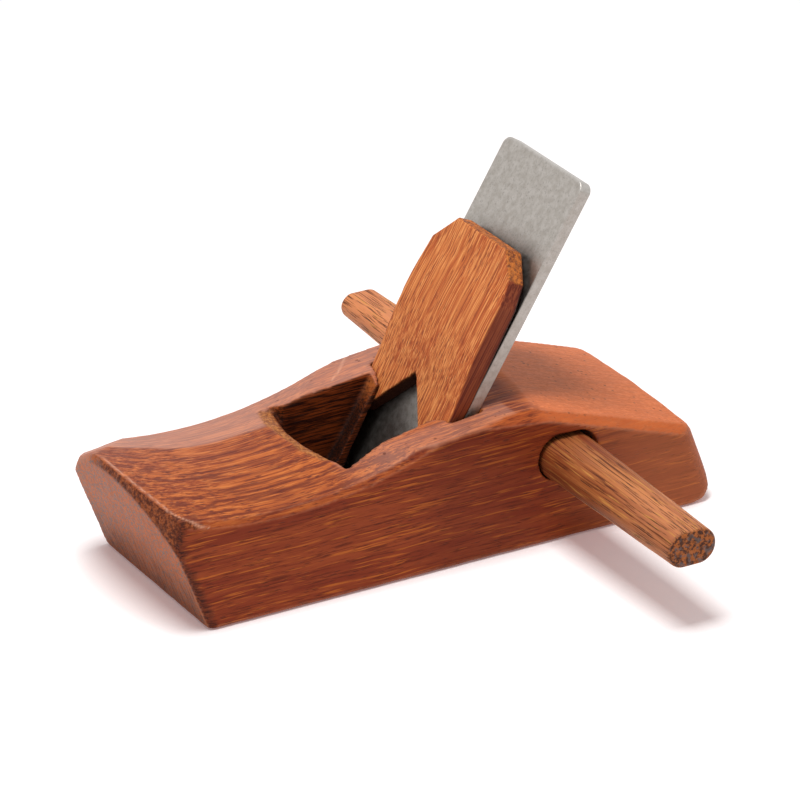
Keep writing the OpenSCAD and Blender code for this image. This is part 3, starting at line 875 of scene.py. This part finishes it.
def finish(tree, shader, color, rough, height, depth):
    """Links colour and roughness to the surface shader, and a height as relief of that depth in
    millimetres."""
    bump = put(tree, "Bump", {"Height": height, "Strength": 1.0, "Distance": depth * MM})
    for name, value in (("Base Color", color), ("Roughness", rough), ("Normal", bump.outputs[0])):
        tree.links.new(value, shader.inputs[name])


def body_side(tree, wood):
    """Sides of the body: dark streaks, orange dashes and dark pores on red-brown bands."""
    color = two_tones(tree, wood["Bands"], 0.35, 0.65, "883217", "a34822")
    color = over(tree, color, spread(tree, wood["Streaks"], 0.5, 0.36), 0.75, "5f2110")
    color = over(tree, color, wood["Dashes"], 0.85, "cd6c29")
    return over(tree, color, wood["Pores"], 0.55, "3f170e")


def body_top(tree, wood, place):
    """Top of the body: dense fine light and dark flecks and lines along the grain."""
    streaks = wood["Streaks"]
    color = two_tones(tree, wood["Bands"], 0.38, 0.62, "9a4824", "b65d2b")
    color = over(tree, color, spread(tree, streaks, 0.52, 0.66), 0.8, "d27a3a")
    color = over(tree, color, spread(tree, streaks, 0.5, 0.38), 0.85, "6c2d21")
    lines = speckle(tree, place, (38.0, 1000.0, 1000.0), 2.0, 0.6)
    color = over(tree, color, spread(tree, lines, 0.52, 0.38), 0.8, "6c2c1b")
    color = over(tree, color, spread(tree, lines, 0.56, 0.68), 0.5, "cf7234")
    return over(tree, color, wood["Pores"], 0.85, "5a251c")


def body_end(tree, place, mottle):
    """End grain of the body: orange and grey specks, darker and scratched towards the sole."""
    fleck = speckle(tree, place, (2300.0, 2300.0, 2300.0), 2.0, 0.6)
    height = axis(tree, place, "Z")
    color = two_tones(tree, fleck, 0.48, 0.57, "ce6a2f", "79706d")
    color = over(tree, color, spread(tree, mottle, 0.48, 0.64), 0.5, "ad5a30")
    color = over(tree, color, spread(tree, height, 0.014, 0.001), 0.5, "6a3c22")
    scratch = spread(tree, speckle(tree, place, (300.0, 2400.0, 260.0), 2.0), 0.52, 0.4)
    return over(tree, color, times(tree, scratch, spread(tree, height, 0.013, 0.004)), 0.6, "4a2616")


def body_wood():
    """Red-brown hardwood: orange dashes and dark pores along the grain, an orange top with dense fine
    flecks, speckled end grain, a rough filed band, a golden lip and dark walls inside, cut wood with
    painted shade, and painted light, shade and sheen on parts of the top, sides and throat."""
    material, tree, shader = new_material("body_wood")
    place = object_place(tree)
    wood = figure(tree, place, bands=(14.0, 420.0, 420.0), streaks=(150.0, 2500.0, 3400.0),
                  dashes=(105.0, 2400.0, 2700.0), pores=(330.0, 2300.0, 2600.0), pore_size=0.3, sway=0.001)
    streaks = wood["Streaks"]
    along = axis(tree, place, "X")
    upward = kept(tree, "upward")
    low = sums(tree, "SUBTRACT", 1.0, upward)
    mottle = speckle(tree, place, (700.0, 900.0, 300.0))
    crumb = speckle(tree, place, 1500.0, 4.0, 0.7)

    color = over(tree, body_side(tree, wood), upward, 1.0, body_top(tree, wood, place))
    # Painted light: the sides paler towards the heel.
    color = over(tree, color, times(tree, spread(tree, along, 0.012, 0.04), low), 0.45, "c9764a")
    # Painted shade on the sides under the hump.
    shade_under_hump = times(tree, spread(tree, along, -0.014, -0.002), spread(tree, along, 0.02, 0.008), low)
    color = over(tree, color, shade_under_hump, 0.3, "561a0b")
    color = over(tree, color, kept(tree, "ends"), 0.92, body_end(tree, place, mottle))
    # Painted sheen: a pale, pinkish tone on parts of the top where the light glances off.
    color = over(tree, color, kept(tree, "painted_sheen"), 0.6, "cf9a87")
    # The ramp behind the iron: lighter, smoother wood and partly a painted sheen.
    color = over(tree, color, times(tree, upward, spread(tree, along, 0.012, 0.017)), 0.68, "ea8049")
    bevel = times(tree, kept(tree, "bevel"), spread(tree, streaks, 0.42, 0.58))
    color = over(tree, color, bevel, 0.5, "c25a2b")
    dots = times(tree, spread(tree, cells(tree, place, 640.0), 0.24, 0.12), upward,
                 spread(tree, mottle, 0.45, 0.6), spread(tree, along, -0.03, -0.016))
    color = over(tree, color, dots, 0.7, "5d2c1f")
    color = rubbed(tree, color, place, 0.32, "d08c6c")

    # Inner walls of the throat and the hole: darker cut wood, and painted shade.
    inside = two_tones(tree, streaks, 0.42, 0.62, "240a05", "8f4219")
    color = over(tree, color, kept(tree, "inner"), 0.94, inside)
    # Painted shade in the hollows and creases.
    color = over(tree, color, kept(tree, "hollow"), 0.6, "2c120b")
    # Painted light on the abutments' top edge, and painted shade down in the throat and the hole.
    color = over(tree, color, times(tree, kept(tree, "lit"), spread(tree, crumb, 0.25, 0.6)), 0.8, "b9652e")
    color = over(tree, color, kept(tree, "shade"), 0.85, "0e0302")

    filed = two_tones(tree, crumb, 0.38, 0.66, "4a1b0c", "a2542b")
    color = over(tree, color, kept(tree, "crumbled"), 0.95, filed)
    torn = two_tones(tree, streaks, 0.42, 0.6, "38130a", "763218")
    color = over(tree, color, kept(tree, "fringe"), 0.85, torn)
    golden = two_tones(tree, crumb, 0.38, 0.62, "743a19", "c07b3f")
    color = over(tree, color, kept(tree, "lip"), 0.9, golden)
    # Pale line of wear and painted highlight above the filed band, along the far ridge and round the
    # corner.
    color = over(tree, color, kept(tree, "wear_and_highlight"), 0.6, "e0aa8e")

    rough = spread(tree, streaks, 0.3, 0.7, 0.6, 0.46)
    crumbly = sums(tree, "MAXIMUM", *(kept(tree, name) for name in ("filed", "lip", "fringe")))
    relief = sums(tree, "ADD", wood["Height"], times(tree, crumb, 5.0, crumbly))
    finish(tree, shader, color, rough, relief, 0.045)
    shader.inputs["Specular IOR Level"].default_value = 0.16
    return material


def wedge_wood():
    """Orange-brown board: fine pale and dark lines and short pores that run up it, dark red flanks, darker
    partly as painted shade, painted shade along its back and in its notch, and crumbly golden end grain on
    its clipped corners."""
    material, tree, shader = new_material("wedge_wood")
    place = object_place(tree)
    wood = figure(tree, turned(tree, place, (0.0, BED, 0.0)), bands=(16.0, 520.0, 520.0),
                  streaks=(34.0, 3700.0, 3700.0), dashes=(60.0, 1900.0, 1900.0),
                  pores=(420.0, 2600.0, 2600.0), pore_size=0.3, sway=0.0003)
    streaks = wood["Streaks"]
    crumb = speckle(tree, place, 1300.0, 4.0, 0.75)
    ends = kept(tree, "ends")
    color = two_tones(tree, wood["Bands"], 0.35, 0.65, "bd5e2e", "d27b42")
    color = over(tree, color, spread(tree, streaks, 0.5, 0.64), 0.85, "f0a25f")
    color = over(tree, color, spread(tree, streaks, 0.49, 0.37), 0.85, "8f4125")
    color = over(tree, color, wood["Pores"], 0.75, "7a3422")
    color = rubbed(tree, color, place, 0.35, "a5552e")
    flank = two_tones(tree, streaks, 0.4, 0.6, "5f2117", "8a3d24")
    # Dark red flanks, darker partly as painted shade.
    color = over(tree, color, kept(tree, "flank"), 0.92, flank)
    # Painted shade in the gap behind the wedge and in its notch.
    color = over(tree, color, kept(tree, "gap_shade"), 0.88, "200c07")
    color = over(tree, color, ends, 0.8, two_tones(tree, crumb, 0.36, 0.62, "4a2320", "cf7630"))
    rough = spread(tree, streaks, 0.3, 0.7, 0.62, 0.5)
    relief = sums(tree, "ADD", wood["Height"], times(tree, crumb, 4.0, ends))
    finish(tree, shader, color, rough, relief, 0.05)
    shader.inputs["Specular IOR Level"].default_value = 0.2
    return material


def handle_wood():
    """Brown open-grained wood: long dark lines and short golden ones along the stick, painted light on its
    parts away from the body, painted shade beside the body, and dark mottled sawn ends."""
    material, tree, shader = new_material("handle_wood")
    place = object_place(tree)
    wood = figure(tree, turned(tree, place, (0.0, 0.0, -math.pi / 2)), bands=(14.0, 480.0, 480.0),
                  streaks=(42.0, 3300.0, 3300.0), dashes=(110.0, 2600.0, 2600.0),
                  pores=(95.0, 2900.0, 2900.0), pore_size=0.34, sway=0.0006)
    streaks = wood["Streaks"]
    along = axis(tree, place, "Y")
    color = two_tones(tree, wood["Bands"], 0.35, 0.65, "8a431e", "c07540")
    # Painted light: the stick paler away from the body.
    color = over(tree, color, spread(tree, along, 0.018, 0.03), 0.6, "f09a68")
    color = over(tree, color, spread(tree, along, -0.032, -0.052), 0.3, "f0a070")
    color = over(tree, color, wood["Dashes"], 0.8, "cf9048")
    color = over(tree, color, spread(tree, streaks, 0.48, 0.37), 0.9, "54250f")
    color = over(tree, color, wood["Pores"], 0.85, "35150a")
    color = rubbed(tree, color, place, 0.3, "6d3a1c")
    # Painted shade on the stick beside the body.
    beside = times(tree, spread(tree, along, -0.034, -0.022), spread(tree, along, 0.016, 0.012))
    color = over(tree, color, beside, 0.45, "6a2710")
    end = two_tones(tree, speckle(tree, place, 1300.0, 3.0, 0.7), 0.44, 0.56, "4c281b", "b8652f")
    end = over(tree, end, spread(tree, speckle(tree, place, 700.0, 2.0), 0.52, 0.6), 0.65, "6d6364")
    end = over(tree, end, spread(tree, speckle(tree, place, 420.0, 2.0), 0.54, 0.66), 0.5, "3b2018")
    color = over(tree, color, kept(tree, "ends"), 0.95, end)
    finish(tree, shader, color, spread(tree, streaks, 0.3, 0.7, 0.66, 0.5), wood["Height"], 0.08)
    shader.inputs["Specular IOR Level"].default_value = 0.22
    return material


def plate_steel():
    """Satin plate steel: faint rolling marks along the length, mottled grey, brighter at its edges, with
    painted shade beneath and round the wedge and down in the throat.
    """
    material, tree, shader = new_material("plate_steel")
    place = object_place(tree)
    rolled = turned(tree, place, (0.0, BED, 0.0))
    brushed = speckle(tree, rolled, (120.0, 5200.0, 5200.0))
    cloud = speckle(tree, rolled, 800.0, 5.0, 0.65)
    dust = speckle(tree, rolled, 2600.0, 3.0, 0.7)
    color = two_tones(tree, cloud, 0.3, 0.7, "a69f97", "bab4ae")
    color = over(tree, color, spread(tree, dust, 0.52, 0.72), 0.8, "918c86")
    color = rubbed(tree, color, place, 0.28, "d2cfcc")
    # Painted shade beneath the wedge, a painted shadow round it, and painted shade down in the throat.
    color = over(tree, color, kept(tree, "painted_iron_shade"), 0.85, "2a241f")
    rough = sums(tree, "ADD", spread(tree, cloud, 0.3, 0.7, 0.36, 0.46), times(tree, brushed, 0.08))
    finish(tree, shader, color, rough, sums(tree, "ADD", brushed, times(tree, dust, 0.6)), 0.006)
    shader.inputs["Metallic"].default_value = 1.0
    return material


# Studio.

def ray_kind(tree):
    """1 for what the camera, a reflection or a view through something sees of the setting."""
    path = put(tree, "LightPath").outputs
    kinds = ("Is Camera Ray", "Is Glossy Ray", "Is Transmission Ray")
    return sums(tree, "MAXIMUM", *(path[kind] for kind in kinds))


def make_floor():
    """Plain pale floor that shows white but keeps the shadow: part of its brightness is its own, and away
    from the plane all of it is."""
    corners = [(-1, -1, 0), (1, -1, 0), (1, 1, 0), (-1, 1, 0)]
    mesh = bpy.data.meshes.new("floor")
    mesh.from_pydata((FLOOR_HALF * np.array(corners)).tolist(), [], [(0, 1, 2, 3)])
    floor = bpy.data.objects.new("floor", mesh)
    bpy.context.scene.collection.objects.link(floor)
    floor.location.z = -FLOOR_DROP
    material = bpy.data.materials.new("pale_floor")
    material.use_nodes = True
    tree = material.node_tree
    tree.nodes.clear()
    lit = put(tree, "BsdfDiffuse", {"Color": (0.8, 0.8, 0.8, 1)}).outputs[0]
    shaded = put(tree, "BsdfDiffuse", {"Color": (*FLOOR_SHADE, 1)}).outputs[0]
    glow = put(tree, "Emission", {"Color": (*FLOOR_GLOW, 1)}).outputs[0]
    both = put(tree, "AddShader", {0: shaded, 1: glow}).outputs[0]
    away = put(tree, "VectorMath", {0: object_place(tree)}, operation="LENGTH").outputs["Value"]
    white = put(tree, "Emission", {"Color": (1, 1, 1, 1)}).outputs[0]
    both = put(tree, "MixShader", {0: spread(tree, away, *FLOOR_FADE), 1: both, 2: white}).outputs[0]
    seen = put(tree, "MixShader", {0: ray_kind(tree), 1: lit, 2: both}).outputs[0]
    tree.links.new(seen, tree.nodes.new("ShaderNodeOutputMaterial").inputs[0])
    mesh.materials.append(material)


def make_world():
    """Even studio light, white where the camera or a reflection sees it."""
    world = bpy.data.worlds.new("studio")
    bpy.context.scene.world = world
    world.use_nodes = True
    tree = world.node_tree
    tree.nodes.clear()
    strength = spread(tree, ray_kind(tree), 0.0, 1.0, AMBIENT, 1.0)
    back = put(tree, "Background", {"Color": (1, 1, 1, 1), "Strength": strength}).outputs[0]
    tree.links.new(back, tree.nodes.new("ShaderNodeOutputWorld").inputs[0])


def place_thing(name, data, place, right, back):
    """Puts a camera or lamp at a place in metres, with its right side and its back turned as given."""
    thing = bpy.data.objects.new(name, data)
    bpy.context.scene.collection.objects.link(thing)
    thing.location = place
    bpy.context.view_layer.update()
    matrix = thing.matrix_world.copy()
    for row, turned_to in enumerate(np.stack([right, np.cross(back, right), back], axis=1).tolist()):
        matrix[row][:3] = turned_to
    thing.matrix_world = matrix
    return thing


def make_lamp(name, place, size, power):
    """Oblong soft lamp at a place in metres, turned to the middle of the plane."""
    lamp = bpy.data.lights.new(name, "AREA")
    lamp.shape = "RECTANGLE"
    lamp.size, lamp.size_y = size
    lamp.energy = power
    back = np.array(place) - np.array(KEY_AIM)
    back = back / np.linalg.norm(back)
    right = np.cross([0.0, 1.0, 0.0], back)
    place_thing(name, lamp, place, right / np.linalg.norm(right), back)


def make_camera():
    """Camera at the distance, turn and rise of the picture."""
    camera = bpy.data.cameras.new("camera")
    camera.lens = CAMERA_LENS
    camera.sensor_width = CAMERA_SENSOR
    camera.clip_start = 0.01
    level = math.cos(CAMERA_RISE)
    back = np.array([math.sin(CAMERA_TURN) * level, -math.cos(CAMERA_TURN) * level, math.sin(CAMERA_RISE)])
    flat = np.array([math.cos(CAMERA_TURN), math.sin(CAMERA_TURN), 0.0])
    right = flat * math.cos(CAMERA_ROLL) + np.cross(back, flat) * math.sin(CAMERA_ROLL)
    place = (np.array(CAMERA_AIM) + CAMERA_AWAY * back) * MM
    bpy.context.scene.camera = place_thing("camera", camera, place, right, back)


make_camera()
make_world()
make_floor()
make_lamp("overhead", KEY_PLACE, KEY_SIZE, KEY_POWER)

grain_group = make_grain()
rubbed_group = make_rubbed()
show("plane_body", body_mesh(), "body", body_wood())
show("plane_iron", iron_mesh(), "iron", plate_steel())
show("plane_wedge", wedge_mesh(), "wedge", wedge_wood())
show("cross_handle", handle_mesh(), "handle", handle_wood())

bpy.context.scene.view_settings.view_transform = "Standard"
bpy.context.view_layer.update()
